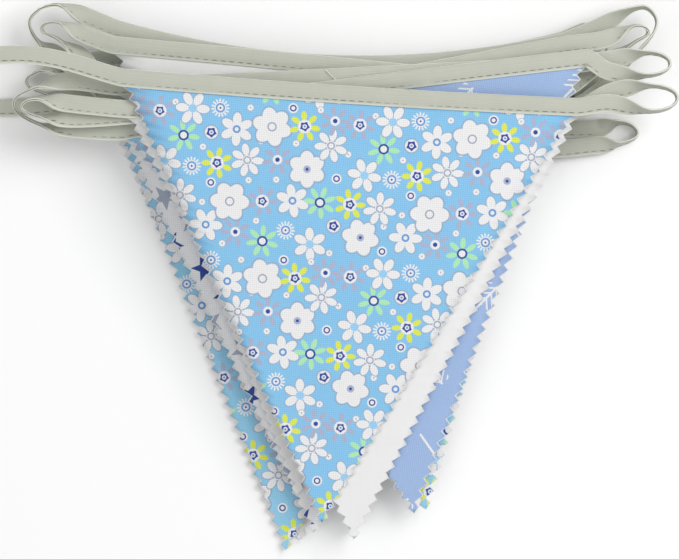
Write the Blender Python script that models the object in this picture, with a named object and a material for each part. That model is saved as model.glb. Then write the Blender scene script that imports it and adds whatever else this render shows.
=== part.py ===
"""Pennant bunting folded into a flat stack: twelve pinked cloth pennants sewn into one folded binding.

The binding runs back and forth over the stack. It turns round in a loose loop at each side, so every
second pennant lies face down. Both of its free ends leave the stack at -X.
Metres, +Z up; the sizes below are in millimetres. The tips point to -Y.
"""

import math
from typing import NamedTuple

import bmesh
import bpy
from mathutils import Vector

MM = 0.001

# The cut pieces.
PENNANT_WIDTH = 180.0
PENNANT_DROP = 171.0
CLOTH = 1.0
TEETH = 32
TOOTH_DEPTH = 2.2
SEAM_MARGIN = 4.4
BINDING_WIDTH = 7.4
SLOT_DEPTH = 5.2
SLOT_GAP = 0.3
LEAF = 0.4
SEWN_SHUT = 1.3
SLOT_END_CLEARANCE = 0.8

# How the layers lie on each other.
PITCH_AT_TIPS = 1.35
PITCH_AT_BINDING = 2.95
TIPS_Y = -112.0
BINDING_Y = 52.0
BEND_BESIDE_BINDING = 12.0
FREE_END_X = -138.0

SPAN_STEPS = 5
YOKE_ROWS = 7
ROUTE_STEPS = 4
# How far down to the next layer a loop is at each of its five points, and how far it has turned on edge.
LOOP_DESCENT = (0.0, 0.15, 0.5, 0.85, 1.0)
LOOP_TWIST = (0.1, 0.9, 1.0, 0.9, 0.1)
# A twist of 1 leaves this much less of the flat direction; a span leans down a little towards its pennant.
TWIST_SHARE = 0.98
SPAN_LEAN = 0.05
# The mouth of the closed section, as a share of half its thickness.
MOUTH_SHARE = 0.6

HALF_BINDING = BINDING_WIDTH / 2
SLOT = CLOTH + 2 * SLOT_GAP
OPEN_THICKNESS = SLOT + 2 * LEAF


class Layer(NamedTuple):
    """One pennant and the stretch of binding that holds it: the edge its cloth leaves, and its centre."""

    name: str
    centre_x: float
    left_y: float
    middle_y: float
    right_y: float
    colour: tuple


class Loop(NamedTuple):
    """One turn of the binding, as plan points from the layer above to the layer below."""

    leave: tuple
    shoulder: tuple
    apex: tuple
    heel: tuple
    meet: tuple
    twist: float


WHITE = (0.86, 0.86, 0.84)
SKY = (0.32, 0.63, 0.88)
PERIWINKLE = (0.47, 0.60, 0.82)
PALE_BLUE = (0.42, 0.74, 0.90)
STARRED = (0.74, 0.77, 0.84)
SAGE = (0.62, 0.64, 0.56)

# Top layer first.
LAYERS = [
    Layer("pennant_01", 6.2, 76.4, 69.6, 64.8, SKY),
    Layer("pennant_02", 7.8, 64.0, 63.2, 64.4, WHITE),
    Layer("pennant_03", 11.4, 62.0, 73.6, 84.4, PERIWINKLE),
    Layer("pennant_04", 4.6, 73.2, 77.2, 82.0, WHITE),
    Layer("pennant_05", 5.0, 55.6, 73.2, 90.0, PALE_BLUE),
    Layer("pennant_06", 1.8, 90.0, 81.6, 72.4, WHITE),
    Layer("pennant_07", -1.4, 70.0, 66.4, 62.8, STARRED),
    Layer("pennant_08", 2.6, 96.8, 82.8, 91.6, WHITE),
    Layer("pennant_09", 6.6, 65.6, 66.4, 67.2, STARRED),
    Layer("pennant_10", 2.6, 86.0, 80.0, 92.4, WHITE),
    Layer("pennant_11", -1.8, 67.6, 58.4, 48.8, PALE_BLUE),
    Layer("pennant_12", -3.4, 68.4, 62.8, 57.2, WHITE),
]

# Loop n joins layer n to layer n + 1: the odd ones are at +X, the even ones at -X.
LOOPS = [
    Loop((110, 70), (128, 67), (137, 72), (129, 77), (112, 75), -1.0),
    Loop((-106, 70), (-119, 72), (-124, 69), (-119, 65.5), (-104, 64), 1.0),
    Loop((110, 83), (127, 81.5), (134.5, 86), (127, 90.5), (112, 88), -1.0),
    Loop((-106, 79), (-120, 76.5), (-128, 70), (-119, 62.5), (-104, 60), 1.0),
    Loop((109, 96), (121, 101.5), (126, 99), (121, 95), (105, 85), 1.0),
    Loop((-100, 98), (-111, 103), (-117, 100.5), (-111, 96.5), (-100, 88), 1.0),
    Loop((104, 73), (123, 92), (130, 103), (124, 109.5), (106, 101), -1.0),
    Loop((-98, 105), (-112, 110.5), (-122, 105), (-120, 97), (-111, 90), 1.0),
    Loop((104, 76), (109, 88), (110.5, 96), (107, 101), (100, 99.5), -1.0),
    Loop((-109, 86), (-119, 84), (-124, 79.5), (-118, 75.5), (-105, 73), 1.0),
    Loop((106, 54), (117, 55), (123, 59), (117, 63.5), (106, 61), -1.0),
]

FREE_END_TOP = [(FREE_END_X, 89.0), (-122, 89.2), (-108, 87.0)]
FREE_END_BACK = [(-106, 71.0), (-122, 69.6), (FREE_END_X, 69.2)]


class Station(NamedTuple):
    """One place along the binding: its centre, which way its sewn edge faces, and its section."""

    centre: Vector
    sewn_edge: Vector
    thickness: float
    slotted: bool


def mid_height(index, y):
    """Height of a layer's middle surface; the stack is thicker at the binding than at the tips."""
    rank = len(LAYERS) - 1 - index
    share = (y - TIPS_Y) / (BINDING_Y - TIPS_Y)
    return OPEN_THICKNESS / 2 + rank * (PITCH_AT_TIPS + (PITCH_AT_BINDING - PITCH_AT_TIPS) * share)


def chord(layer):
    """Middle, direction and upward normal of the straight line between a pennant's two corners."""
    rise = (layer.right_y - layer.left_y) / PENNANT_WIDTH
    along = Vector((math.sqrt(1 - rise * rise), rise))
    middle = Vector((layer.centre_x, (layer.left_y + layer.right_y) / 2))
    return middle, along, Vector((-along.y, along.x))


def edge_point(layer, u):
    """The point of the binding's sewn edge at u along the pennant, and the edge's upward normal."""
    middle, along, up = chord(layer)
    half = PENNANT_WIDTH / 2
    bow = layer.middle_y - middle.y
    offset = bow * (1 - (u / half) ** 2)
    lean = -2 * bow * u / half**2
    point = middle + along * u + up * offset
    return point, (up - along * lean).normalized()


def pennant_point(layer, u, v):
    """A point of the cloth at u across and v down; v below 0 is the margin inside the binding."""
    point, normal = edge_point(layer, u)
    if v <= 0:
        return point - normal * v
    middle, along, up = chord(layer)
    bow = (point - middle).dot(up) * (1 - v / PENNANT_DROP)
    return middle + along * u + up * (bow - v)


def pennant_height(index, y, v):
    """Height of a pennant's middle surface; the lowest one lies down on the ground beside its binding."""
    height = mid_height(index, y)
    if index < len(LAYERS) - 1:
        return height
    fall = min(max(v / BEND_BESIDE_BINDING, 0.0), 1.0)
    return height + (CLOTH / 2 - height) * fall


def pinked_rows():
    """Distances down the pennant of the pinked edge's points, and how far each one is cut back."""
    rows = []
    for step in range(2 * TEETH):
        v = PENNANT_DROP * step / (2 * TEETH)
        rows.append((v, TOOTH_DEPTH if step % 2 else 0.0))
    return rows


def half_width(v, cut):
    """Half the cloth's width at v down the pennant, less what the pinking cuts off."""
    slant = math.hypot(PENNANT_DROP, PENNANT_WIDTH / 2) / PENNANT_DROP
    return max(PENNANT_WIDTH / 2 * (1 - v / PENNANT_DROP) - cut * slant, 0.0)


def new_object(name, mesh, colour, collection, parent):
    """Links a mesh as one sub-part with its own cloth material."""
    material = bpy.data.materials.new(name + "_cloth")
    material.use_nodes = True
    shader = material.node_tree.nodes["Principled BSDF"]
    shader.inputs["Base Color"].default_value = (*colour, 1.0)
    shader.inputs["Roughness"].default_value = 0.9
    shader.inputs["Metallic"].default_value = 0.0
    mesh.materials.append(material)
    item = bpy.data.objects.new(name, mesh)
    item.parent = parent
    collection.objects.link(item)
    return item


def finish_mesh(name, bm):
    """Turns the faces outward and makes the mesh in metres."""
    bmesh.ops.recalc_face_normals(bm, faces=bm.faces)
    bmesh.ops.scale(bm, vec=(MM, MM, MM), verts=bm.verts)
    mesh = bpy.data.meshes.new(name)
    bm.to_mesh(mesh)
    bm.free()
    return mesh


def build_pennant(index, collection, parent):
    """Lofts one pinked triangle between its two cut edges and thickens it straight up and down."""
    layer = LAYERS[index]
    bm = bmesh.new()
    span = [PENNANT_WIDTH * (step / SPAN_STEPS - 0.5) for step in range(SPAN_STEPS + 1)]

    def vert(u, v):
        """Adds the cloth's middle point at u across and v down."""
        point = pennant_point(layer, u, v)
        return bm.verts.new((point.x, point.y, pennant_height(index, point.y, v)))

    margin = [vert(u, -SEAM_MARGIN) for u in span]
    edge = [vert(u, 0.0) for u in span]
    for i in range(SPAN_STEPS):
        bm.faces.new((margin[i], margin[i + 1], edge[i + 1], edge[i]))
    sides = []
    for v, cut in pinked_rows()[1:]:
        half = half_width(v, cut)
        sides.append((vert(-half, v), vert(half, v)))
    yoke = sides[:YOKE_ROWS]
    bm.faces.new((*edge, *[right for _, right in yoke], *[left for left, _ in yoke[::-1]]))
    for upper, lower in zip(sides[YOKE_ROWS - 1 :], sides[YOKE_ROWS:]):
        bm.faces.new((upper[0], upper[1], lower[1], lower[0]))
    bm.faces.new((*sides[-1], vert(0.0, PENNANT_DROP)))
    bmesh.ops.triangulate(bm, faces=bm.faces)
    grown = bmesh.ops.extrude_face_region(bm, geom=list(bm.faces), use_keep_orig=True)
    upper = [item for item in grown["geom"] if isinstance(item, bmesh.types.BMVert)]
    bmesh.ops.translate(bm, verts=bm.verts, vec=(0, 0, -CLOTH / 2))
    bmesh.ops.translate(bm, verts=upper, vec=(0, 0, CLOTH))
    return new_object(layer.name, finish_mesh(layer.name, bm), layer.colour, collection, parent)


def span_route(index):
    """Stations of the binding along one pennant, from -X to +X: (centre, guide, thickness, slotted)."""
    layer = LAYERS[index]
    reach = PENNANT_WIDTH / 2 + SLOT_END_CLEARANCE
    inner = [PENNANT_WIDTH * (step / SPAN_STEPS - 0.5) for step in range(1, SPAN_STEPS)]
    stations = []
    for u in [-reach, *inner, reach]:
        edge, normal = edge_point(layer, u)
        centre = edge + normal * HALF_BINDING
        height = mid_height(index, centre.y)
        stations.append((Vector((centre.x, centre.y, height)), 0.0, OPEN_THICKNESS, True))
    return stations


def between(a, b, c, d, t):
    """Point at t between b and c of a smooth curve that passes a, b, c and d without overshooting."""
    length = (c - b).length
    out = (c - a).normalized() * length
    arrive = (d - b).normalized() * length
    start = b * (2 * t**3 - 3 * t**2 + 1) + out * (t**3 - 2 * t**2 + t)
    return start + c * (3 * t**2 - 2 * t**3) + arrive * (t**3 - t**2)


def loop_knots(index):
    """Knots of the loop below a layer: (point, twist)."""
    loop = LOOPS[index]
    above = index
    below = index + 1
    plan = [loop.leave, loop.shoulder, loop.apex, loop.heel, loop.meet]
    knots = []
    for (x, y), share, twist in zip(plan, LOOP_DESCENT, LOOP_TWIST):
        top = mid_height(above, y)
        height = top + (mid_height(below, y) - top) * share
        knots.append((Vector((x, y, height)), twist * loop.twist))
    return knots


def whole_route():
    """Every knot of the binding from its top free end to its back one, in order."""
    last = len(LAYERS) - 1
    knots = [(Vector((x, y, mid_height(0, y))), 0.0, SEWN_SHUT, False) for x, y in FREE_END_TOP]
    for index in range(len(LAYERS)):
        stations = span_route(index)
        knots += stations if index % 2 == 0 else stations[::-1]
        if index < last:
            knots += [(point, twist, SEWN_SHUT, False) for point, twist in loop_knots(index)]
    knots += [(Vector((x, y, mid_height(last, y))), 0.0, SEWN_SHUT, False) for x, y in FREE_END_BACK]
    return knots


def fine_route():
    """The route with extra points between knots wherever the binding isn't slotted."""
    knots = whole_route()
    fine = []
    for i in range(len(knots) - 1):
        fine.append(knots[i])
        if knots[i][3] and knots[i + 1][3]:
            continue
        before = knots[max(i - 1, 0)]
        after = knots[min(i + 2, len(knots) - 1)]
        for step in range(1, ROUTE_STEPS):
            t = step / ROUTE_STEPS
            point = between(before[0], knots[i][0], knots[i + 1][0], after[0], t)
            twist = knots[i][1] + (knots[i + 1][1] - knots[i][1]) * t
            fine.append((point, twist, SEWN_SHUT, False))
    fine.append(knots[-1])
    return fine


def stations_along(route):
    """Works out the section's direction at each point and keeps the binding above the ground."""
    stations = []
    for i, (point, twist, thickness, slotted) in enumerate(route):
        ahead = route[min(i + 1, len(route) - 1)][0]
        behind = route[max(i - 1, 0)][0]
        along = (ahead - behind).normalized()
        guide = Vector((0.0, -1.0, -SPAN_LEAN if slotted else 0.0))
        guide = guide * (1 - TWIST_SHARE * abs(twist)) + Vector((0.0, 0.0, twist))
        sewn_edge = (guide - along * guide.dot(along)).normalized()
        face = along.cross(sewn_edge)
        reach_down = abs(sewn_edge.z) * HALF_BINDING + abs(face.z) * thickness / 2
        lift = Vector((0.0, 0.0, max(reach_down - point.z, 0.0)))
        stations.append(Station(point + lift, sewn_edge, thickness, slotted))
    return stations


def build_binding(collection, parent):
    """Lofts the binding's section along its route, with a slot where a pennant goes in."""
    route = fine_route()
    stations = stations_along(route)
    bm = bmesh.new()
    outers, inners = [], []
    for i, station in enumerate(stations):
        ahead = stations[min(i + 1, len(stations) - 1)].centre
        behind = stations[max(i - 1, 0)].centre
        along = (ahead - behind).normalized()
        face = along.cross(station.sewn_edge).normalized()
        half = station.thickness / 2
        mouth = min(SLOT / 2, half * MOUTH_SHARE)

        def at(across, out):
            """Adds a section point: across towards the sewn edge, out through the thickness."""
            return bm.verts.new(station.centre + station.sewn_edge * across + face * out)

        rim = [(-HALF_BINDING, -half), (HALF_BINDING, -half), (HALF_BINDING, -mouth)]
        outers.append([at(a, b) for a, b in rim] + [at(a, -b) for a, b in rim[::-1]])
        floor = HALF_BINDING - SLOT_DEPTH
        inners.append([at(floor, -mouth), at(floor, mouth)] if station.slotted else None)
    for i in range(len(stations) - 1):
        first, second = outers[i], outers[i + 1]
        slotted = stations[i].slotted and stations[i + 1].slotted
        for a in range(6):
            b = (a + 1) % 6
            if slotted and a == 2:
                ring_a = [first[2], *inners[i], first[3]]
                ring_b = [second[2], *inners[i + 1], second[3]]
                for p in range(3):
                    bm.faces.new((ring_a[p], ring_a[p + 1], ring_b[p + 1], ring_b[p]))
            elif a == 4:
                bm.faces.new((first[b], second[b], second[a], first[a]))
            else:
                bm.faces.new((first[a], first[b], second[b], second[a]))
    for i, station in enumerate(stations):
        open_before = i > 0 and station.slotted and stations[i - 1].slotted
        open_after = i + 1 < len(stations) and station.slotted and stations[i + 1].slotted
        if open_before != open_after:
            bm.faces.new((outers[i][2], inners[i][0], inners[i][1], outers[i][3]))
    for ring in (outers[0], outers[-1]):
        for corners in ((0, 1, 2), (0, 2, 3), (0, 3, 5), (3, 4, 5)):
            bm.faces.new([ring[corner] for corner in corners])
    bmesh.ops.triangulate(bm, faces=bm.faces, quad_method="FIXED")
    return new_object("binding", finish_mesh("binding", bm), SAGE, collection, parent)


def main():
    """Builds the bunting in its own collection, with its box centred over the origin."""
    for item in list(bpy.data.objects):
        bpy.data.objects.remove(item, do_unlink=True)
    collection = bpy.data.collections.new("fabric_bunting")
    bpy.context.scene.collection.children.link(collection)
    stack = bpy.data.objects.new("stack", None)
    collection.objects.link(stack)
    build_binding(collection, stack)
    for index in range(len(LAYERS)):
        build_pennant(index, collection, stack)


main()
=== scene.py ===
"""The looks of a folded pennant bunting: printed cloth, a stitched binding, soft light, a camera above."""

import logging
import math
from dataclasses import dataclass, field
from enum import Enum

import bmesh
import bpy
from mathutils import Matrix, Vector


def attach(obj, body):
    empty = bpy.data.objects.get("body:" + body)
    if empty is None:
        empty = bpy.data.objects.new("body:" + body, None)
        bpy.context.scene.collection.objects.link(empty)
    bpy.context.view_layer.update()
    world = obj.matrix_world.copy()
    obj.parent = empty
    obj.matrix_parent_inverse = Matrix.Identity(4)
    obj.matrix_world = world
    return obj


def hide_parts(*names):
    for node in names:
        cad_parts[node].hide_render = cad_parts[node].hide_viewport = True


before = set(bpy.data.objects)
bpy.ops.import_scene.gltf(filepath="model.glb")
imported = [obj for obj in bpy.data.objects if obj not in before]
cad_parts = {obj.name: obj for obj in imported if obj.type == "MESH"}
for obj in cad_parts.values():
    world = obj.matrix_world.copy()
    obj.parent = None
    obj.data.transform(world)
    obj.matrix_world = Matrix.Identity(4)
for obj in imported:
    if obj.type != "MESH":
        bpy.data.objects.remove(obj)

LOG = logging.getLogger("bunting")
MM = 0.001
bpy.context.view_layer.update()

# The cloth shader's fixed values.
BUMP_STRENGTH = 0.6
SHEEN = 0.12
SHEEN_ROUGHNESS = 0.5
SPECULAR = 0.25
ROUGHNESS = 0.82
ROUGHNESS_SPREAD = 0.1
# How much of the weave's height is thread, and how much is crossing.
THREAD_SHARE = 0.35
CROSSING_SHARE = 0.3
# Widths of printed edges, in mm.
FINE_EDGE = 0.12
INK_EDGE = 0.15
WIDE_EDGE = 0.2


class Finish(Enum):
    """The cloth that shows on a pennant's printed ply."""

    SKY_FLORAL = "sky_floral"
    ARROWS = "arrow_print"
    PALE_FLORAL = "pale_floral"
    STARS = "star_print"
    PLAIN = "plain_back"


# ------------------------------------------------------------------ shader expressions


class Sock:
    """Wraps a node socket, so that arithmetic on it adds Math or Vector Math nodes."""

    def __init__(self, tree: "Tree", socket: bpy.types.NodeSocket) -> None:
        """Keeps the socket and the tree that it belongs to."""
        self.tree = tree
        self.socket = socket

    def math(self, operation: str, *others: object, clamp: bool = False) -> "Sock":
        """Adds one Math node.

        Args:
            operation: the Math node's operation.
            others: the further operands, numbers or Socks.
            clamp: whether the result is held between 0 and 1.

        Returns:
            The node's result.
        """
        values = dict(enumerate((self, *others)))
        return self.tree.node("ShaderNodeMath", {"operation": operation, "use_clamp": clamp}, values)

    def __add__(self, other: object) -> "Sock":
        """Returns the sum."""
        return self.math("ADD", other)

    def __radd__(self, other: object) -> "Sock":
        """Returns the sum."""
        return self.math("ADD", other)

    def __sub__(self, other: object) -> "Sock":
        """Returns the difference."""
        return self.math("SUBTRACT", other)

    def __rsub__(self, other: float) -> "Sock":
        """Returns the difference, with this socket taken from a number."""
        return self.tree.value(other).math("SUBTRACT", self)

    def __mul__(self, other: object) -> "Sock":
        """Returns the product."""
        return self.math("MULTIPLY", other)

    def __rmul__(self, other: object) -> "Sock":
        """Returns the product."""
        return self.math("MULTIPLY", other)

    def __truediv__(self, other: object) -> "Sock":
        """Returns the quotient."""
        return self.math("DIVIDE", other)

    def below(self, edge: float, soft: float) -> "Sock":
        """Returns 1 under the edge and 0 above it, with a soft step between."""
        return ((self - edge) * (-1 / soft)).math("ADD", 0.5, clamp=True)


class Tree:
    """A material's node tree, with one method that adds any node."""

    def __init__(self, name: str) -> None:
        """Starts a material of that name with an empty tree."""
        self.material = bpy.data.materials.new(name)
        self.material.use_nodes = True
        self.nodes = self.material.node_tree.nodes
        self.links = self.material.node_tree.links
        self.nodes.clear()

    def node(self, kind: str, settings: dict, inputs: dict, output: int = 0) -> Sock | None:
        """Adds a node.

        Args:
            kind: the node's type.
            settings: its settings, which are set first.
            inputs: values or Socks by the name or number of the node's socket.
            output: which of its outputs is wanted.

        Returns:
            That output, or None where the node has none.
        """
        made = self.nodes.new(kind)
        for key, value in settings.items():
            setattr(made, key, value)
        for key, value in inputs.items():
            if isinstance(value, Sock):
                self.links.new(value.socket, made.inputs[key])
            else:
                made.inputs[key].default_value = value
        return Sock(self, made.outputs[output]) if made.outputs else None

    def value(self, number: float) -> Sock:
        """Returns a constant as a Sock."""
        return self.node("ShaderNodeMath", {"operation": "ADD"}, {0: number, 1: 0.0})

    def mix(self, share: Sock, low: object, high: object) -> Sock:
        """Returns low where share is 0 and high where it is 1, as a colour."""
        low, high = ((*c, 1.0) if isinstance(c, tuple) else c for c in (low, high))
        return self.node("ShaderNodeMix", {"data_type": "RGBA"}, {0: share, 6: low, 7: high}, 2)

    def cloth_place(self) -> Sock:
        """Returns the place on the flat cloth, in millimetres."""
        uv = self.node("ShaderNodeUVMap", {"uv_map": "cloth"}, {})
        return self.node("ShaderNodeVectorMath", {"operation": "SCALE"}, {0: uv, "Scale": 1000.0})

    def axis(self, vector: Sock, number: int) -> Sock:
        """Returns one of a vector's three parts."""
        return self.node("ShaderNodeSeparateXYZ", {}, {0: vector}, number)

    def weave(self, place: Sock, pitch: float) -> Sock:
        """Makes a plain weave.

        Args:
            place: the place on the flat cloth, in mm.
            pitch: the distance between threads, in mm.

        Returns:
            The weave's height, from 0 to 1.
        """
        across = (self.axis(place, 0) * (math.pi / pitch)).math("SINE")
        along = (self.axis(place, 1) * (math.pi / pitch)).math("SINE")
        thread = across.math("ABSOLUTE") + along.math("ABSOLUTE")
        return thread * THREAD_SHARE + (across * along).math("ABSOLUTE") * CROSSING_SHARE

    def noise(self, place: Sock, scale: float, detail: float = 3.0) -> Sock:
        """Returns noise of that scale, from 0 to 1."""
        inputs = {"Vector": place, "Scale": scale, "Detail": detail}
        return self.node("ShaderNodeTexNoise", {}, inputs)

    def finish(self, colour: object, roughness: Sock, height: Sock, depth: float) -> bpy.types.Material:
        """Closes the tree with a matt cloth shader.

        Args:
            colour: the base colour.
            roughness: the surface's roughness.
            height: the bump's height, from 0 to 1.
            depth: the bump's depth in metres.

        Returns:
            The material.
        """
        relief = {"Strength": BUMP_STRENGTH, "Distance": depth, "Height": height}
        base = (*colour, 1.0) if isinstance(colour, tuple) else colour
        inputs = {
            "Base Color": base,
            "Roughness": roughness,
            "Normal": self.node("ShaderNodeBump", {}, relief),
            "Sheen Weight": SHEEN,
            "Sheen Roughness": SHEEN_ROUGHNESS,
            "Specular IOR Level": SPECULAR,
        }
        self.node_output(self.node("ShaderNodeBsdfPrincipled", {}, inputs))
        return self.material

    def node_output(self, shader: Sock) -> None:
        """Links the shader to the material's surface."""
        self.node("ShaderNodeOutputMaterial", {}, {"Surface": shader})


# ------------------------------------------------------------------ printed motifs


@dataclass(frozen=True)
class Bloom:
    """A printed motif: petals as ellipses round a centre, then discs at its heart, largest first."""

    petals: int
    reach: float
    length: float
    breadth: float
    colour: tuple
    discs: tuple = ()
    outline: tuple | None = (0.30, 0.40, 0.56)
    star: float = 0.0


WHITE_INK = (0.84, 0.83, 0.83)
NAVY_INK = (0.035, 0.075, 0.33)
BLUE_INK = (0.16, 0.34, 0.68)
SKY_INK = (0.34, 0.62, 0.86)
GREY_INK = (0.38, 0.42, 0.52)
LILAC_INK = (0.42, 0.46, 0.62)
GREEN_INK = (0.44, 0.80, 0.47)
YELLOW_INK = (0.74, 0.80, 0.10)

# A petal's outline and a disc's edge, and the small star at some hearts with its two discs.
OUTLINE_REACH = 1.17
OUTLINE_EDGE = 0.14
DISC_EDGE = 0.18
HEART_WAIST = 0.72
HEART_DISCS = ((0.9, WHITE_INK), (0.45, BLUE_INK))

MOTIFS = {
    "big_grey": Bloom(6, 3.9, 3.5, 2.75, WHITE_INK, ((1.5, LILAC_INK), (0.6, NAVY_INK))),
    "big_ring": Bloom(6, 4.1, 3.7, 2.9, WHITE_INK, ((1.9, GREY_INK), (1.3, WHITE_INK))),
    "daisy_ring": Bloom(6, 4.0, 2.7, 1.75, WHITE_INK,
                        ((2.2, WHITE_INK), (1.6, BLUE_INK), (0.8, WHITE_INK))),
    "daisy_sky": Bloom(6, 4.2, 2.6, 1.7, WHITE_INK, ((1.9, WHITE_INK), (1.7, SKY_INK))),
    "teardrop": Bloom(7, 4.3, 2.4, 1.45, WHITE_INK, ((2.0, WHITE_INK), (1.6, GREY_INK), (1.0, WHITE_INK))),
    "faint": Bloom(7, 4.1, 2.1, 1.0, LILAC_INK, ((1.9, WHITE_INK), (0.9, NAVY_INK)), outline=None),
    "faint_star": Bloom(7, 4.3, 1.9, 1.0, LILAC_INK, ((2.6, WHITE_INK),), outline=None, star=2.0),
    "yellow": Bloom(7, 4.3, 1.9, 1.1, YELLOW_INK, ((2.7, WHITE_INK),), outline=None, star=2.1),
    "green": Bloom(7, 4.2, 2.3, 1.05, GREEN_INK, ((2.1, NAVY_INK), (1.35, WHITE_INK)), outline=None),
    "rosette": Bloom(1, 0.0, 2.6, 2.6, WHITE_INK, (), star=2.2),
    "burst": Bloom(15, 3.0, 0.8, 0.34, WHITE_INK,
                   ((2.3, WHITE_INK), (1.9, BLUE_INK), (1.2, WHITE_INK), (0.4, NAVY_INK)), outline=None),
    "dot": Bloom(1, 0.0, 1.25, 1.25, WHITE_INK, ((0.3, GREY_INK),), outline=GREY_INK),
    "eye": Bloom(1, 0.0, 2.0, 2.0, WHITE_INK, ((1.35, NAVY_INK), (0.8, WHITE_INK)), outline=None),
}

# One repeat of the flower cloth, as a chart: motif, place across and along in mm, turn in degrees.
FLOWER_REPEAT = (80.0, 61.0)
FLOWER_CHART = (
    ("big_grey", 8, 8, 10), ("eye", 17, 3, 0), ("daisy_ring", 26, 9, 0), ("dot", 33, 2, 0),
    ("faint", 38, 7, 20), ("green", 49, 4, 14), ("burst", 58, 9, 0), ("daisy_sky", 68, 4, 25),
    ("dot", 76, 1, 0), ("rosette", 77, 12, 0), ("dot", 17, 13, 0), ("dot", 46, 12, 0),
    ("yellow", 3, 21, 0), ("teardrop", 15, 20, 12), ("dot", 24, 18, 0), ("big_ring", 35, 19, 0),
    ("faint_star", 48, 20, 0), ("daisy_ring", 60, 21, 18), ("green", 71, 21, 30), ("eye", 27, 26, 0),
    ("dot", 53, 29, 0), ("daisy_sky", 8, 33, 8), ("burst", 19, 32, 0), ("yellow", 29, 34, 22),
    ("dot", 42, 28, 0), ("teardrop", 41, 36, 0), ("faint", 53, 37, 10), ("big_grey", 65, 34, 26),
    ("eye", 77, 31, 0), ("dot", 1, 41, 0), ("green", 15, 44, 5), ("dot", 23, 40, 0),
    ("rosette", 26, 46, 12), ("daisy_ring", 36, 48, 30), ("dot", 46, 44, 0), ("big_ring", 50, 50, 14),
    ("dot", 60, 44, 0), ("yellow", 63, 51, 6), ("teardrop", 74, 44, 20), ("faint_star", 5, 53, 15),
    ("dot", 11, 57, 0), ("daisy_sky", 18, 55, 0), ("burst", 29, 56, 0), ("dot", 41, 57, 0),
    ("eye", 58, 58, 0), ("dot", 69, 58, 0), ("faint", 75, 54, 0),
)
STAR_POINTS = 5
STAR_SIZE = 5.6
STAR_WAIST = 0.42
STAR_REPEAT = (34.0, 30.0)
STAR_CHART = (
    ("navy", 6, 5, 4), ("grey", 23, 4, 25), ("grey", 14, 15, 50), ("navy", 29, 16, 14),
    ("grey", 3, 24, 8), ("navy", 20, 26, 33),
)
# An arrow's sizes in mm: half its line, half its length, and its barbs.
ARROW_LINE = 0.45
ARROW_REACH = 12.0
BARB_SLANT = 0.9
BARB_SPACING = 1.4
BARB_WIDTH = 4.0
BARBS_AT = 7.0
BARBS_REACH = 4.6
ARROW_REPEAT = (46.0, 40.0)
ARROW_CHART = ((12.0, 12.0, 62.0), (35.0, 30.0, -38.0))


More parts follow.
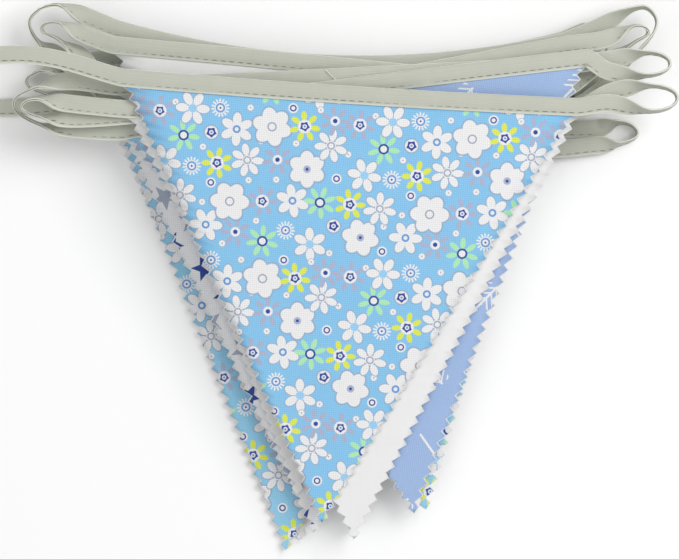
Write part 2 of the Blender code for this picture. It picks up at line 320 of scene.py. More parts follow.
@dataclass(frozen=True)
class PrintedCloth:
    """Cotton printed with a repeating chart of motifs."""

    name: str
    ground: tuple
    kind: Finish
    fade_scale: float = 0.05
    faded: float = 0.93
    pitch: float = 0.85
    shade_between_threads: tuple = (0.80, 0.82, 0.84)
    relief: float = 0.00012

    def local(self, tree: Tree, place: Sock, centre: tuple, repeat: tuple) -> Sock:
        """Measures from a motif that repeats over the cloth.

        Args:
            tree: the material's tree.
            place: the place on the flat cloth, in mm.
            centre: the motif's place in the first repeat.
            repeat: the repeat's width and height.

        Returns:
            The place measured from the nearest copy of the motif's centre.
        """
        away = tree.node("ShaderNodeVectorMath", {"operation": "SUBTRACT"}, {0: place, 1: (*centre, 0.0)})
        high = (repeat[0] / 2, repeat[1] / 2, 1.0)
        low = tuple(-side for side in high)
        return tree.node("ShaderNodeVectorMath", {"operation": "WRAP"}, {0: away, 1: high, 2: low})

    def bloom(self, tree: Tree, colour: Sock, near: Sock, motif: Bloom, turn: float) -> Sock:
        """Prints one bloom over the colour.

        Args:
            tree: the material's tree.
            colour: the colour so far.
            near: the place measured from the bloom's centre.
            motif: the bloom.
            turn: how far it is turned, in degrees.

        Returns:
            The colour with the bloom on it.
        """
        x, y = tree.axis(near, 0), tree.axis(near, 1)
        radius = (x * x + y * y).math("SQRT")
        if motif.petals > 1:
            sector = math.pi / motif.petals
            angle = y.math("ARCTAN2", x) + math.radians(turn)
            angle = angle.math("WRAP", sector, -sector)
            out = radius * angle.math("COSINE") - motif.reach
            side = radius * angle.math("SINE")
            shape = (out * out / motif.length**2 + side * side / motif.breadth**2).math("SQRT")
        else:
            shape = radius / motif.length
        if motif.outline:
            colour = tree.mix(shape.below(OUTLINE_REACH, OUTLINE_EDGE), colour, motif.outline)
        colour = tree.mix(shape.below(1.0, FINE_EDGE), colour, motif.colour)
        for size, ink in motif.discs:
            colour = tree.mix(radius.below(size, DISC_EDGE), colour, ink)
        if motif.star:
            colour = self.star(tree, colour, near, NAVY_INK, turn, motif.star, HEART_WAIST)
            for size, ink in HEART_DISCS:
                colour = tree.mix(radius.below(size, INK_EDGE), colour, ink)
        return colour

    def star(self, tree: Tree, colour: Sock, near: Sock, ink: tuple, turn: float, size: float,
             waist: float) -> Sock:
        """Prints one star over the colour.

        Args:
            tree: the material's tree.
            colour: the colour so far.
            near: the place measured from the star's centre.
            ink: the star's colour.
            turn: how far it is turned, in degrees.
            size: its points' distance from the centre, in mm.
            waist: its inner corners' distance, as a share of the points'.

        Returns:
            The colour with the star on it.
        """
        x, y = tree.axis(near, 0), tree.axis(near, 1)
        radius = (x * x + y * y).math("SQRT")
        half_turn = math.pi / STAR_POINTS
        angle = (y.math("ARCTAN2", x) + math.radians(turn)).math("WRAP", half_turn, -half_turn)
        angle = angle.math("ABSOLUTE")
        run = waist * math.cos(half_turn) - 1.0
        rise = waist * math.sin(half_turn)
        scale = math.hypot(run, rise)
        out = radius * angle.math("COSINE") - size
        side = radius * angle.math("SINE")
        edge = (out * rise - side * run) * (1 / scale)
        return tree.mix(edge.below(0.0, INK_EDGE), colour, ink)

    def arrow(self, tree: Tree, colour: Sock, near: Sock, turn: float) -> Sock:
        """Prints one arrow, a shaft with slanting barbs, over the colour.

        Args:
            tree: the material's tree.
            colour: the colour so far.
            near: the place measured from the arrow's middle.
            turn: how far it is turned, in degrees.

        Returns:
            The colour with the arrow on it.
        """
        spin = tree.node("ShaderNodeVectorRotate", {"rotation_type": "Z_AXIS"},
                         {"Vector": near, "Angle": math.radians(turn)})
        x, y = tree.axis(spin, 0), tree.axis(spin, 1).math("ABSOLUTE")
        shaft = y.below(ARROW_LINE, INK_EDGE) * x.math("ABSOLUTE").below(ARROW_REACH, WIDE_EDGE)
        barbs = (x + y * BARB_SLANT).math("WRAP", BARB_SPACING, -BARB_SPACING)
        barbs = barbs.math("ABSOLUTE").below(ARROW_LINE, INK_EDGE)
        tail = (x - BARBS_AT).math("ABSOLUTE").below(BARBS_REACH, WIDE_EDGE)
        fletch = barbs * y.below(BARB_WIDTH, WIDE_EDGE) * tail
        return tree.mix(shaft.math("MAXIMUM", fletch), colour, WHITE_INK)

    def build(self) -> bpy.types.Material:
        """Prints the chart over the ground colour and adds the weave, as a bump and as painted shade
        between the threads.

        Returns:
            The printed cloth's material.
        """
        tree = Tree(self.name)
        place = tree.cloth_place()
        fade = tree.noise(place, self.fade_scale)
        tone = tuple(channel * self.faded for channel in self.ground)
        colour = tree.mix(fade, self.ground, tone)
        if self.kind in (Finish.SKY_FLORAL, Finish.PALE_FLORAL):
            for name, x, y, turn in FLOWER_CHART:
                near = self.local(tree, place, (x, y), FLOWER_REPEAT)
                colour = self.bloom(tree, colour, near, MOTIFS[name], turn)
        elif self.kind is Finish.STARS:
            inks = {"navy": NAVY_INK, "grey": GREY_INK}
            for name, x, y, turn in STAR_CHART:
                near = self.local(tree, place, (x, y), STAR_REPEAT)
                colour = self.star(tree, colour, near, inks[name], turn, STAR_SIZE, STAR_WAIST)
        elif self.kind is Finish.ARROWS:
            for x, y, turn in ARROW_CHART:
                near = self.local(tree, place, (x, y), ARROW_REPEAT)
                colour = self.arrow(tree, colour, near, turn)
        weave = tree.weave(place, self.pitch)
        # Painted shade: the colour is multiplied darker between the threads of the weave.
        shade = tree.mix(weave, self.shade_between_threads, (1.0, 1.0, 1.0))
        colour = tree.node("ShaderNodeMix", {"data_type": "RGBA", "blend_type": "MULTIPLY"},
                           {0: 1.0, 6: colour, 7: shade}, 2)
        return tree.finish(colour, fade * ROUGHNESS_SPREAD + ROUGHNESS, weave, self.relief)


@dataclass(frozen=True)
class PlainCloth:
    """Plain cotton of one colour, with its weave, a little unevenness and painted highlights along the
    given rims.
    """

    name: str
    ground: tuple
    shade: tuple
    pitch: float = 0.45
    highlight_rims: tuple = ()
    highlight_width: float = 0.7
    highlight_edge: float = 0.6
    highlight_gain: float = 1.35
    lightest: float = 0.9
    uneven_scale: float = 0.12
    relief: float = 0.0001

    def build(self) -> bpy.types.Material:
        """Makes the cloth's unevenness, its weave with painted shade between the threads, and its painted
        highlights along the rims.

        Returns:
            The plain cloth's material.
        """
        tree = Tree(self.name)
        place = tree.cloth_place()
        uneven = tree.noise(place, self.uneven_scale, 4.0)
        weave = tree.weave(place, self.pitch)
        # Painted shade: the weave half of this mix darkens the colour between the threads; the noise half
        # is uneven tone.
        colour = tree.mix(uneven * 0.5 + weave * 0.5, self.shade, self.ground)
        # Painted highlights: bands along the given rims are lighter, standing in for the light that the
        # folds and edges catch.
        across = tree.axis(place, 0)
        light = tuple(min(channel * self.highlight_gain, self.lightest) for channel in self.ground)
        for rim in self.highlight_rims:
            near = (across - rim).math("ABSOLUTE").below(self.highlight_width, self.highlight_edge)
            colour = tree.mix(near, colour, light)
        return tree.finish(colour, uneven * ROUGHNESS_SPREAD + ROUGHNESS, weave, self.relief)


# ------------------------------------------------------------------ the bunting's sizes


@dataclass(frozen=True)
class Layer:
    """One pennant: the edge that its cloth leaves the binding by, and its cloth."""

    name: str
    centre_x: float
    left_y: float
    middle_y: float
    right_y: float
    cloth: Finish


# Top layer first.
LAYERS = (
    Layer("pennant_01", 6.2, 76.4, 69.6, 64.8, Finish.SKY_FLORAL),
    Layer("pennant_02", 7.8, 64.0, 63.2, 64.4, Finish.STARS),
    Layer("pennant_03", 11.4, 62.0, 73.6, 84.4, Finish.ARROWS),
    Layer("pennant_04", 4.6, 73.2, 77.2, 82.0, Finish.SKY_FLORAL),
    Layer("pennant_05", 5.0, 55.6, 73.2, 90.0, Finish.PALE_FLORAL),
    Layer("pennant_06", 1.8, 90.0, 81.6, 72.4, Finish.ARROWS),
    Layer("pennant_07", -1.4, 70.0, 66.4, 62.8, Finish.STARS),
    Layer("pennant_08", 2.6, 96.8, 82.8, 91.6, Finish.PALE_FLORAL),
    Layer("pennant_09", 6.6, 65.6, 66.4, 67.2, Finish.STARS),
    Layer("pennant_10", 2.6, 86.0, 80.0, 92.4, Finish.ARROWS),
    Layer("pennant_11", -1.8, 67.6, 58.4, 48.8, Finish.PALE_FLORAL),
    Layer("pennant_12", -3.4, 68.4, 62.8, 57.2, Finish.SKY_FLORAL),
)


@dataclass(frozen=True)
class Loop:
    """One turn of the binding, as plan points from the layer above to the layer below."""

    leave: tuple
    shoulder: tuple
    apex: tuple
    heel: tuple
    meet: tuple
    twist: float


# Loop n joins layer n to layer n + 1: the odd ones are at +X, the even ones at -X.
LOOPS = (
    Loop((110, 70), (128, 67), (137, 72), (129, 77), (112, 75), -1.0),
    Loop((-106, 70), (-119, 72), (-124, 69), (-119, 65.5), (-104, 64), 1.0),
    Loop((110, 83), (127, 81.5), (134.5, 86), (127, 90.5), (112, 88), -1.0),
    Loop((-106, 79), (-120, 76.5), (-128, 70), (-119, 62.5), (-104, 60), 1.0),
    Loop((109, 96), (121, 101.5), (126, 99), (121, 95), (105, 85), 1.0),
    Loop((-100, 98), (-111, 103), (-117, 100.5), (-111, 96.5), (-100, 88), 1.0),
    Loop((104, 73), (123, 92), (130, 103), (124, 109.5), (106, 101), -1.0),
    Loop((-98, 105), (-112, 110.5), (-122, 105), (-120, 97), (-111, 90), 1.0),
    Loop((104, 76), (109, 88), (110.5, 96), (107, 101), (100, 99.5), -1.0),
    Loop((-109, 86), (-119, 84), (-124, 79.5), (-118, 75.5), (-105, 73), 1.0),
    Loop((106, 54), (117, 55), (123, 59), (117, 63.5), (106, 61), -1.0),
)


@dataclass
class Stack:
    """How the layers lie on each other: heights and the line of each sewn edge, in millimetres."""

    width: float = 180.0
    drop: float = 171.0
    at_tips: float = 1.35
    at_binding: float = 2.95
    tips_y: float = -112.0
    binding_y: float = 52.0
    binding_height: float = 2.4
    lowest_height: float = 0.5
    bend: float = 12.0

    def mid_height(self, index: int, y: float) -> float:
        """Works out how high a layer lies.

        Args:
            index: the layer's number, 0 for the top one.
            y: the place along +Y, in mm.

        Returns:
            The height of the layer's middle surface, in mm.
        """
        rank = len(LAYERS) - 1 - index
        share = (y - self.tips_y) / (self.binding_y - self.tips_y)
        return self.binding_height / 2 + rank * (self.at_tips + (self.at_binding - self.at_tips) * share)

    def pennant_height(self, index: int, y: float, v: float) -> float:
        """Works out how high a pennant's cloth lies; the lowest one falls to the ground.

        Args:
            index: the layer's number.
            y: the place along +Y, in mm.
            v: the distance down the pennant, in mm.

        Returns:
            The height of the cloth's middle surface, in mm.
        """
        height = self.mid_height(index, y)
        if index < len(LAYERS) - 1:
            return height
        fall = min(max(v / self.bend, 0.0), 1.0)
        return height + (self.lowest_height - height) * fall

    def chord(self, layer: Layer) -> tuple[Vector, Vector, Vector]:
        """Works out the straight line between a pennant's two corners.

        Args:
            layer: the pennant's layer.

        Returns:
            The line's middle, its direction and its upward normal.
        """
        rise = (layer.right_y - layer.left_y) / self.width
        along = Vector((math.sqrt(1 - rise * rise), rise))
        middle = Vector((layer.centre_x, (layer.left_y + layer.right_y) / 2))
        return middle, along, Vector((-along.y, along.x))

    def edge_point(self, layer: Layer, u: float) -> tuple[Vector, Vector]:
        """Finds a point of the binding's sewn edge, which bows between the pennant's corners.

        Args:
            layer: the pennant's layer.
            u: the distance along the pennant from its middle, in mm.

        Returns:
            The point and the edge's upward normal there.
        """
        middle, along, up = self.chord(layer)
        half = self.width / 2
        bow = layer.middle_y - middle.y
        lean = -2 * bow * u / half**2
        point = middle + along * u + up * (bow * (1 - (u / half) ** 2))
        return point, (up - along * lean).normalized()

    def cloth_point(self, layer: Layer, u: float, v: float) -> Vector:
        """Finds a point of the cloth in plan.

        Args:
            layer: the pennant's layer.
            u: the distance across from its middle, in mm.
            v: the distance down, in mm, below 0 in the margin inside the binding.

        Returns:
            The point.
        """
        point, normal = self.edge_point(layer, u)
        if v <= 0:
            return point - normal * v
        middle, along, up = self.chord(layer)
        bow = (point - middle).dot(up) * (1 - v / self.drop)
        return middle + along * u + up * (bow - v)


# ------------------------------------------------------------------ pieces


def link(name: str, mesh: bpy.types.Mesh, material: bpy.types.Material) -> bpy.types.Object:
    """Makes a piece of the mesh.

    Args:
        name: the piece's name.
        mesh: its mesh.
        material: its finish.

    Returns:
        The piece, riding on the one body.
    """
    mesh.materials.append(material)
    piece = bpy.data.objects.new(name, mesh)
    bpy.context.scene.collection.objects.link(piece)
    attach(piece, "root")
    LOG.info("%s: %d faces", name, len(mesh.polygons))
    return piece


@dataclass
class Pennants:
    """The twelve pennants, each a printed ply and a plain backing ply pinked together."""

    stack: Stack
    teeth: int = 38
    tooth: float = 2.2
    margin: float = 4.2
    columns: int = 16
    ply: float = 0.3
    ply_apart: float = 0.36
    inset: float = 0.45
    ripple_height: float = 0.14
    ripple_along: tuple = (0.045, 0.6)
    ripple_across: tuple = (0.037, 1.1)
    ripple_start: float = 30.0
    materials: dict = field(default_factory=dict)

    def half_width(self, v: float, cut: float) -> float:
        """Returns half the cloth's width at v down, less what the pinking cuts off."""
        slant = math.hypot(self.stack.drop, self.stack.width / 2) / self.stack.drop
        return max(self.stack.width / 2 * (1 - v / self.stack.drop) - cut * slant, 0.0)

    def ply_mesh(self, index: int, lift: float, inset: float, phase: int) -> bpy.types.Mesh:
        """Makes one ply.

        Args:
            index: the layer's number.
            lift: the ply's height over the pennant's middle surface, in mm.
            inset: how far its edges are cut inside the other ply's, in mm.
            phase: 0 or 1, which of the pinking's points come first.

        Returns:
            The ply's mesh, with a UV map of the flat cloth.
        """
        layer = LAYERS[index]
        bm = bmesh.new()
        uv = bm.loops.layers.uv.new("cloth")
        places = {}
        rows = [(-self.margin, 0.0), (-self.margin / 2, 0.0)]
        for step in range(2 * self.teeth):
            cut = self.tooth if (step + phase) % 2 else 0.0
            rows.append((self.stack.drop * step / (2 * self.teeth), cut + inset))
        previous = None
        for v, cut in rows:
            half = self.half_width(max(v, 0.0), cut)
            row = []
            for column in range(self.columns + 1):
                u = half * (2 * column / self.columns - 1)
                row.append(self.vertex(bm, places, index, layer, u, v, lift))
            if previous:
                for a in range(self.columns):
                    bm.faces.new((previous[a], row[a], row[a + 1], previous[a + 1]))
            previous = row
        tip = self.vertex(bm, places, index, layer, 0.0, self.stack.drop - inset, lift)
        for a in range(self.columns):
            bm.faces.new((previous[a], tip, previous[a + 1]))
        for face in bm.faces:
            face.smooth = True
            for loop in face.loops:
                loop[uv].uv = places[loop.vert]
        mesh = bpy.data.meshes.new(layer.name)
        bm.to_mesh(mesh)
        bm.free()
        return mesh

    def vertex(self, bm: bmesh.types.BMesh, places: dict, index: int, layer: Layer, u: float, v: float,
               lift: float) -> bmesh.types.BMVert:
        """Adds a point of the cloth and notes its place on the flat cloth.

        Args:
            bm: the mesh.
            places: the flat places so far, by vertex.
            index: the layer's number.
            layer: the layer.
            u: the distance across, in mm.
            v: the distance down, in mm.
            lift: the height over the pennant's middle surface, in mm.

        Returns:
            The vertex.
        """
        point = self.stack.cloth_point(layer, u, v)
        height = self.stack.pennant_height(index, point.y, v) + lift + self.ripple(point, v)
        vert = bm.verts.new((point.x * MM, point.y * MM, height * MM))
        side = 1 if index % 2 == 0 else -1
        places[vert] = (u * MM * side, -v * MM)
        return vert

    def ripple(self, point: Vector, v: float) -> float:
        """Works out the small unevenness that all the layers share.

        Args:
            point: the place in plan, in mm.
            v: the distance down the pennant, in mm.

        Returns:
            How much higher the cloth is there, in mm.
        """
        if v <= 0:
            return 0.0
        wave = 1.0
        for place, (rate, phase) in zip(point, (self.ripple_along, self.ripple_across)):
            wave *= math.sin(place * rate + phase)
        return self.ripple_height * (1 + wave) * min(v / self.ripple_start, 1.0)

    def build(self) -> None:
        """Makes both plies of every pennant."""
        for index, layer in enumerate(LAYERS):
            face_up = index % 2 == 0
            lift = self.ply_apart / 2
            plies = (
                (f"{layer.name}_print", layer.cloth, lift if face_up else -lift, self.inset, 0),
                (f"{layer.name}_backing", Finish.PLAIN, -lift if face_up else lift, 0.0, 0),
            )
            for name, finish, height, inset, phase in plies:
                mesh = self.ply_mesh(index, height, inset, phase)
                piece = link(name, mesh, self.materials[finish])
                solid = piece.modifiers.new("ply", "SOLIDIFY")
                solid.thickness = self.ply * MM
                solid.offset = 0.0
                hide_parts(layer.name)


@dataclass(frozen=True)
class Station:
    """One place along the binding: its centre, which way its sewn edge faces, and whether it is slotted."""

    centre: Vector
    sewn_edge: Vector
    face: Vector
    opening: float


@dataclass
class Binding:
    """The narrow strip folded over the pennants' top edges and stitched along its open edge."""

    stack: Stack
    width: float = 7.4
    leaf: float = 0.32
    span_steps: int = 30
    route_steps: int = 12
    half_open: float = 0.95
    half_shut: float = 0.32
    stitch_pitch: float = 3.5
    stitch_length: float = 2.4
    stitch_inset: float = 1.3
    free_end_x: float = -138.0
    slot_end: float = 0.8
    descent: tuple = (0.0, 0.15, 0.5, 0.85, 1.0)
    turning: tuple = (0.1, 0.9, 1.0, 0.9, 0.1)
    lean: float = 0.03
    twist_share: float = 0.98
    mouth: float = 0.62
    rim: float = 0.7
    rim_rise: float = 0.05
    stitch_sink: float = 0.06
    belly_at: float = 2.2
    belly_share: float = 0.6
    crown: float = 0.04
    fold: tuple = ((1.6, 1.0), (0.9, 0.93), (0.25, 0.62))
    pucker: float = 0.05
    wander: tuple = ((0.16, 0.061, 0.0), (0.1, 0.173, 1.0))
    flank: float = 3.0
    flank_share: float = 0.4
    thread: tuple = (0.2, 0.13)
    thread_rings: tuple = ((-1.0, 0.25), (-0.6, 0.8), (0.0, 1.0), (0.6, 0.8), (1.0, 0.25))
    thread_corners: int = 6
    thread_dip: float = 0.08
    thread_rise: float = 0.02

    def knots(self) -> list[tuple[Vector, float, float]]:
        """Lists the binding's whole route.

        Returns:
            The knots as (centre, twist, half the opening), top free end first.
        """
        last = len(LAYERS) - 1
        top_end = ((self.free_end_x, 89.0), (-122, 89.2), (-108, 87.0))
        back_end = ((-106, 71.0), (-122, 69.6), (self.free_end_x, 69.2))
        route = [(self.at(0, x, y), 0.0, self.half_shut) for x, y in top_end]
        for index, layer in enumerate(LAYERS):
            span = self.span(index, layer)
            route += span if index % 2 == 0 else span[::-1]
            if index < last:
                route += self.loop(index)
        return route + [(self.at(last, x, y), 0.0, self.half_shut) for x, y in back_end]

    def at(self, index: int, x: float, y: float) -> Vector:
        """Returns a point of a layer's middle surface."""
        return Vector((x, y, self.stack.mid_height(index, y)))

    def span(self, index: int, layer: Layer) -> list[tuple[Vector, float, float]]:
        """Lists the knots along one pennant.

        Args:
            index: the layer's number.
            layer: the layer.

        Returns:
            The knots from -X to +X.
        """
        reach = self.stack.width / 2 + self.slot_end
        knots = []
        for step in range(self.span_steps + 1):
            u = reach * (2 * step / self.span_steps - 1)
            edge, normal = self.stack.edge_point(layer, u)
            centre = edge + normal * (self.width / 2)
            knots.append((self.at(index, centre.x, centre.y), 0.0, self.half_open))
        return knots

    def loop(self, index: int) -> list[tuple[Vector, float, float]]:
        """Lists the knots of the loop below a layer.

        Args:
            index: the layer's number.

        Returns:
            The knots, from the layer above to the one below.
        """
        turn = LOOPS[index]
        plan = (turn.leave, turn.shoulder, turn.apex, turn.heel, turn.meet)
        knots = []
        for (x, y), share, twist in zip(plan, self.descent, self.turning):
            top = self.at(index, x, y)
            knots.append((top.lerp(self.at(index + 1, x, y), share), twist * turn.twist, self.half_shut))
        return knots

    def route(self) -> list[tuple[Vector, float, float]]:
        """Fills in the curve between the knots.

        Returns:
            The finer route, in the same form.
        """
        knots = self.knots()
        fine = []
        for i, (start, twist, opening) in enumerate(knots[:-1]):
            end, end_twist, end_opening = knots[i + 1]
            fine.append((start, twist, opening))
            if opening == end_opening == self.half_open:
                continue
            before, after = knots[max(i - 1, 0)][0], knots[min(i + 2, len(knots) - 1)][0]
            for step in range(1, self.route_steps):
                t = step / self.route_steps
                smooth = t * t * (3 - 2 * t)
                point = self.between(before, start, end, after, t)
                fine.append((point, twist + (end_twist - twist) * smooth,
                             opening + (end_opening - opening) * smooth))
        return fine + [knots[-1]]

    def between(self, a: Vector, b: Vector, c: Vector, d: Vector, t: float) -> Vector:
        """Finds a point of a smooth curve that doesn't overshoot.

        Args:
            a: the knot before.
            b: the knot that the stretch starts at.
            c: the knot that it ends at.
            d: the knot after.
            t: how far along the stretch, from 0 to 1.

        Returns:
            The point.
        """
        length = (c - b).length
        out = (c - a).normalized() * length
        arrive = (d - b).normalized() * length
        ahead = c * (3 * t**2 - 2 * t**3) + arrive * (t**3 - t**2)
        return b * (2 * t**3 - 3 * t**2 + 1) + out * (t**3 - 2 * t**2 + t) + ahead

    def stations(self) -> list[Station]:
        """Works out the section's directions along the route and keeps it above the ground.

        Returns:
            The stations, top free end first.
        """
        route = self.route()
        made = []
        for i, (point, twist, opening) in enumerate(route):
            along = (route[min(i + 1, len(route) - 1)][0] - route[max(i - 1, 0)][0]).normalized()
            guide = Vector((0.0, -1.0, -self.lean)) * (1 - self.twist_share * abs(twist))
            guide += Vector((0.0, 0.0, twist))
            sewn_edge = (guide - along * guide.dot(along)).normalized()
            face = along.cross(sewn_edge).normalized()
            low = abs(sewn_edge.z) * self.width / 2 + abs(face.z) * (opening + self.leaf / 2)
            lifted = point + Vector((0.0, 0.0, max(low - point.z, 0.0)))
            made.append(Station(lifted, sewn_edge, face, opening))
        return made

    def profile(self, opening: float) -> list[tuple[float, float]]:
        """Draws the folded section.

        Args:
            opening: half the distance between the two leaves at the fold, in mm.

        Returns:
            Its points as (towards the sewn edge, through the thickness), in mm.
        """
        half = self.width / 2 - self.leaf / 2
        edge = min(opening, self.mouth)
        belly = edge + (opening - edge) * self.belly_share + self.crown
        upper = [
            (half, edge),
            (half - self.rim, edge + self.rim_rise),
            (half - self.stitch_inset, edge - self.stitch_sink),
            (half - self.belly_at, belly),
            (0.0, opening + self.crown),
        ]
        upper += [(a - half, opening * share) for a, share in self.fold]
        return upper + [(-half, 0.0)] + [(a, -b) for a, b in upper[::-1]]

    def strip_mesh(self, stations: list[Station]) -> bpy.types.Mesh:
        """Makes the open folded strip.

        Args:
            stations: the places along the binding.

        Returns:
            Its mesh, with a UV map of the flat strip.
        """
        bm = bmesh.new()
        uv = bm.loops.layers.uv.new("cloth")
        places, previous, run = {}, None, 0.0
        for i, station in enumerate(stations):
            if i:
                run += (station.centre - stations[i - 1].centre).length
            pucker = self.pucker * math.sin(run * 2 * math.pi / self.stitch_pitch)
            wander = sum(size * math.sin(run * rate + phase) for size, rate, phase in self.wander)
            ring = []
            for number, (across, out) in enumerate(self.profile(station.opening)):
                share = 1 if abs(across) < self.flank else self.flank_share
                swell = out * (1 + pucker) + wander * share * 0.5
                point = station.centre + station.sewn_edge * across + station.face * swell
                vert = bm.verts.new((point.x * MM, point.y * MM, max(point.z, self.leaf / 2) * MM))
                places[vert] = (number * MM, run * MM)
                ring.append(vert)
            if previous:
                for a in range(len(ring) - 1):
                    bm.faces.new((previous[a], previous[a + 1], ring[a + 1], ring[a]))
            previous = ring
        for face in bm.faces:
            face.smooth = True
            for loop in face.loops:
                loop[uv].uv = places[loop.vert]
        mesh = bpy.data.meshes.new("binding_strip")
        bm.to_mesh(mesh)
        bm.free()
        return mesh

    def stitch_mesh(self, stations: list[Station]) -> bpy.types.Mesh:
        """Makes the line of stitches on both faces.

        Args:
            stations: the places along the binding.

        Returns:
            All the stitches as one mesh.
        """
        bm = bmesh.new()
        run, wanted = 0.0, 0.0
        half = self.width / 2 - self.leaf / 2
        for first, second in zip(stations, stations[1:]):
            step = (second.centre - first.centre).length
            while wanted < run + step:
                share = (wanted - run) / step
                centre = first.centre.lerp(second.centre, share)
                along = (second.centre - first.centre).normalized()
                opening = first.opening + (second.opening - first.opening) * share
                edge = min(opening, self.mouth) - self.stitch_sink + self.leaf / 2
                for side in (-1, 1):
                    place = centre + first.sewn_edge * (half - self.stitch_inset) + first.face * edge * side
                    self.stitch(bm, place, along, first.sewn_edge, first.face)
                wanted += self.stitch_pitch
            run += step
        for face in bm.faces:
            face.smooth = True
        mesh = bpy.data.meshes.new("binding_stitches")
        bm.to_mesh(mesh)
        bm.free()
        return mesh

    def stitch(self, bm: bmesh.types.BMesh, place: Vector, along: Vector, side: Vector, up: Vector) -> None:
        """Adds one stitch, a flattened grain of thread that dips at both ends.

        Args:
            bm: the stitches' mesh.
            place: the stitch's middle, in mm.
            along: the direction that it runs in.
            side: the direction of its width.
            up: the direction of its height.
        """
        rings = []
        width, height = self.thread
        for t, size in self.thread_rings:
            rise = self.thread_rise - self.thread_dip * t * t
            middle = place + along * (t * self.stitch_length / 2) + up * rise
            ring = []
            for corner in range(self.thread_corners):
                turn = corner * 2 * math.pi / self.thread_corners
                offset = side * (math.cos(turn) * width * size) + up * (math.sin(turn) * height * size)
                ring.append(bm.verts.new((middle + offset) * MM))
            rings.append(ring)
        for lower, upper in zip(rings, rings[1:]):
            for a in range(self.thread_corners):
                b = (a + 1) % self.thread_corners
                bm.faces.new((lower[a], lower[b], upper[b], upper[a]))
        bm.faces.new(rings[0][::-1])
        bm.faces.new(rings[-1])

    def build(self) -> None:
        """Makes the strip, its stitches and the loose thread tail."""
        stations = self.stations()
        # The sage strip has painted highlights along its two open edges and its fold, at profile points 0,
        # 8 and 16.
        sage = PlainCloth("sage_binding", (0.545, 0.555, 0.485), (0.425, 0.440, 0.375), 0.6,
                          highlight_rims=(0.0, 8.0, 16.0))
        strip = link("binding_strip", self.strip_mesh(stations), sage.build())
        solid = strip.modifiers.new("cloth", "SOLIDIFY")
        solid.thickness = self.leaf * MM
        solid.offset = 0.0
        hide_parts("binding")
        length = sum((b.centre - a.centre).length for a, b in zip(stations, stations[1:]))
        LOG.info("binding length %.3f m", length * MM)
        thread = PlainCloth("sage_thread", (0.27, 0.28, 0.235), (0.19, 0.20, 0.165), 0.2)
        link("binding_stitches", self.stitch_mesh(stations), thread.build())
        self.thread_tail()

    def thread_tail(self) -> None:
        """Adds the loose end of sewing thread that lies across the bindings."""
        points = (
            (-3.0, 83.6, 0.9), (-1.4, 81.8, 1.1), (0.2, 80.4, 1.2),
            (1.6, 79.2, 1.2), (2.6, 78.2, 1.0), (3.2, 78.6, 0.9),
        )
        curve = bpy.data.curves.new("thread_tail", "CURVE")
        curve.dimensions = "3D"
        curve.bevel_depth = 0.16 * MM
        curve.use_fill_caps = True
        spline = curve.splines.new("NURBS")
        spline.points.add(len(points) - 1)
        spline.use_endpoint_u = True
        for point, (x, y, lift) in zip(spline.points, points):
            height = self.stack.mid_height(3, y) + self.half_open + lift
            point.co = (x * MM, y * MM, height * MM, 1.0)
        tail = bpy.data.objects.new("thread_tail", curve)
        bpy.context.scene.collection.objects.link(tail)
        cotton = PlainCloth("white_thread", (0.85, 0.85, 0.82), (0.7, 0.7, 0.66), 0.2)
        curve.materials.append(cotton.build())
        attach(tail, "root")


# ------------------------------------------------------------------ studio


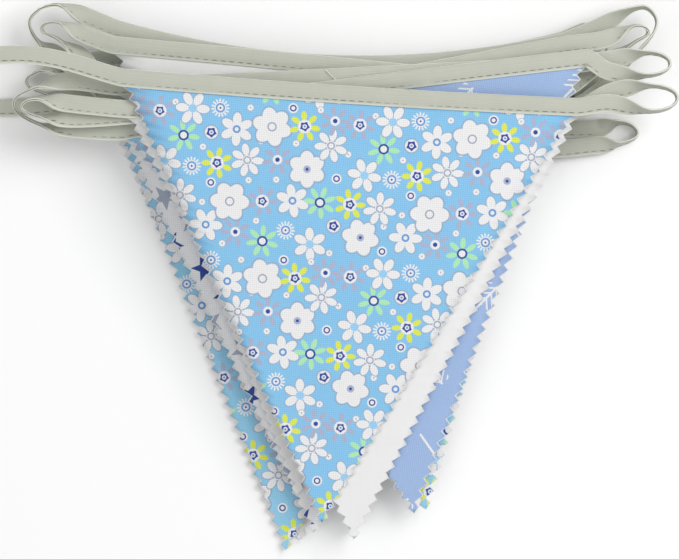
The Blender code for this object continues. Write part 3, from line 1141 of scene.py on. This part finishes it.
@dataclass
class Studio:
    """A pale floor, soft lights and a camera straight above the stack."""

    camera_height: float = 2.2
    view_width: float = 0.2716
    focus_height: float = 0.028
    aim: tuple = (0.0024, -0.0002)
    surround: float = 0.40
    floor_side: float = 6.0
    floor_colour: tuple = (0.93, 0.93, 0.93)
    floor_roughness: float = 0.9
    floor_specular: float = 0.1

    def floor(self) -> None:
        """Makes the pale floor."""
        bpy.ops.mesh.primitive_plane_add(size=self.floor_side, location=(0, 0, 0))
        ground = bpy.context.object
        ground.name = "stage"
        tree = Tree("pale_floor")
        inputs = {
            "Base Color": (*self.floor_colour, 1.0),
            "Roughness": self.floor_roughness,
            "Specular IOR Level": self.floor_specular,
        }
        tree.node_output(tree.node("ShaderNodeBsdfPrincipled", {}, inputs))
        ground.data.materials.append(tree.material)

    def lights(self) -> None:
        """Hangs three soft lights and sets the surrounding light."""
        for name, place, size, power in (
            ("key", (0.8, 0.5, 1.2), 0.9, 12.5),
            ("fill", (-0.9, -0.6, 1.4), 1.2, 6.0),
            ("top", (0.2, 0.2, 1.9), 1.6, 8.0),
        ):
            lamp = bpy.data.lights.new(name, "AREA")
            lamp.size = size
            lamp.energy = power
            item = bpy.data.objects.new(name, lamp)
            item.location = place
            item.rotation_euler = (-Vector(place)).to_track_quat("-Z", "Y").to_euler()
            bpy.context.scene.collection.objects.link(item)
        world = bpy.data.worlds.new("soft_room")
        world.use_nodes = True
        background = world.node_tree.nodes["Background"]
        background.inputs["Color"].default_value = (1.0, 1.0, 1.0, 1.0)
        background.inputs["Strength"].default_value = self.surround
        bpy.context.scene.world = world
        bpy.context.scene.view_settings.view_transform = "Standard"

    def camera(self) -> None:
        """Places the camera straight above the stack, looking down with +Y at the top."""
        data = bpy.data.cameras.new("camera")
        data.lens = data.sensor_width * (self.camera_height - self.focus_height) / self.view_width
        item = bpy.data.objects.new("camera", data)
        item.location = (*self.aim, self.camera_height)
        bpy.context.scene.collection.objects.link(item)
        bpy.context.scene.camera = item

    def build(self) -> None:
        """Sets up the studio."""
        self.camera()
        self.floor()
        self.lights()


def main() -> None:
    """Builds the studio, the pennants and the binding in order."""
    logging.basicConfig(level=logging.INFO, format="%(message)s")
    Studio().build()
    stack = Stack()
    cloths = (
        PrintedCloth("sky_floral", (0.270, 0.580, 0.860), Finish.SKY_FLORAL),
        PrintedCloth("periwinkle_arrows", (0.370, 0.505, 0.770), Finish.ARROWS),
        PrintedCloth("pale_floral", (0.320, 0.640, 0.860), Finish.PALE_FLORAL),
        PrintedCloth("white_stars", (0.880, 0.880, 0.890), Finish.STARS),
    )
    materials = {cloth.kind: cloth.build() for cloth in cloths}
    materials[Finish.PLAIN] = PlainCloth("plain_white", (0.84, 0.835, 0.83), (0.74, 0.74, 0.745)).build()
    Pennants(stack, materials=materials).build()
    Binding(stack).build()


if __name__ == "__main__":
    main()
